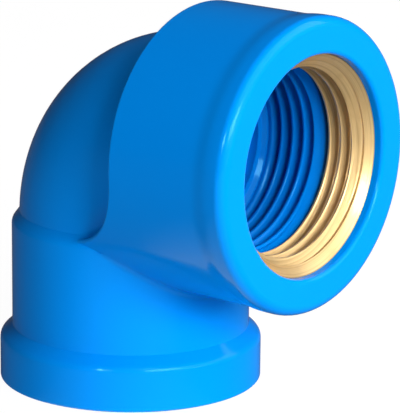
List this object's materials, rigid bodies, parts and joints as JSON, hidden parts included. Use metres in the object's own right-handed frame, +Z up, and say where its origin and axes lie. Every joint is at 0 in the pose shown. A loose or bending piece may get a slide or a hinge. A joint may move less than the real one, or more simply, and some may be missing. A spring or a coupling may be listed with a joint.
{
  "type": "pvc elbow with brass insert",
  "caption": "Right-angle pressure pipe elbow in glossy blue plastic, with a plain glue socket below and a brass-lined threaded mouth at the side.",
  "frame": {"origin": "middle of the pipe socket's mouth, on the plane that the collar stands on", "axes": "+Z up along the socket's axis, +X out of the threaded mouth along the thread's axis"},
  "size_m": [0.0475, 0.038, 0.0519],
  "materials": {
    "blue_pvc": "smooth glossy moulded plastic",
    "brass": "bright turned brass"
  },
  "bodies": {
    "root": {"elbow_body": "blue_pvc", "brass_insert": "brass"}
  },
  "joints": []
}
